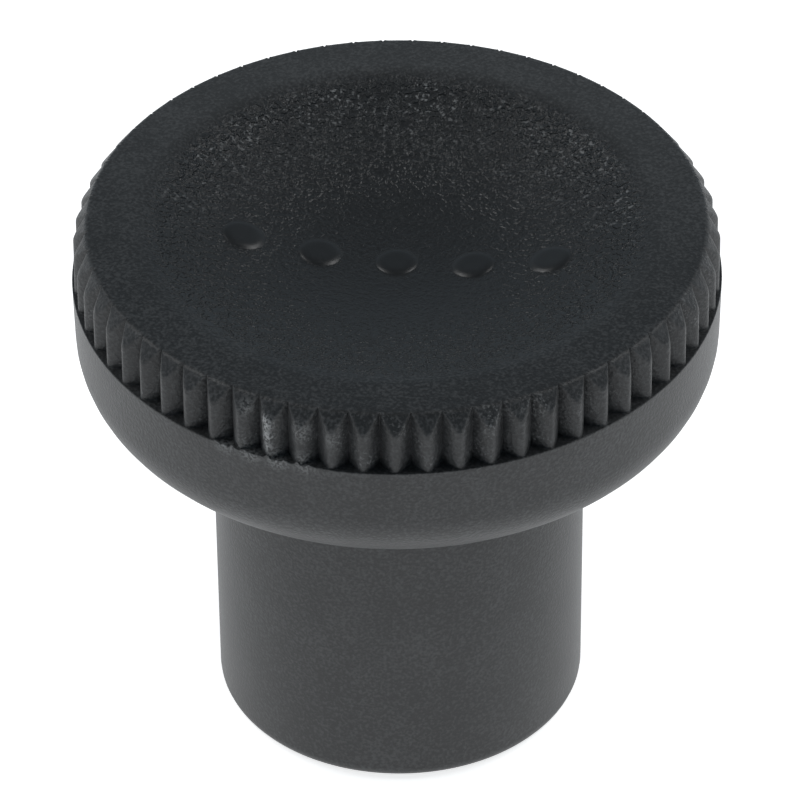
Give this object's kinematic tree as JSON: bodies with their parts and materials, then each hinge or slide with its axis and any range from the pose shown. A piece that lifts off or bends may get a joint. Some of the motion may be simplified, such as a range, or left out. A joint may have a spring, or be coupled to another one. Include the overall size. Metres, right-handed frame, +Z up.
{
  "type": "knurled knob",
  "caption": "Round knurled hand knob with a dished top, a collar under the knurl and a tapped insert in its boss.",
  "frame": {"origin": "centre of the boss's bottom face", "axes": "+Z up the knob's axis, from the boss to the head; X along the row of dots in the dish"},
  "size_m": [0.0302, 0.0302, 0.0266],
  "materials": {
    "moulded_plastic": "black glass-filled polyamide, fine spark-eroded grain, wrinkled grain in the dish",
    "insert_brass": "turned and tapped, with fine facing rings on the end"
  },
  "bodies": {
    "root": {"knob_body": "moulded_plastic", "threaded_insert": "insert_brass"}
  },
  "joints": []
}
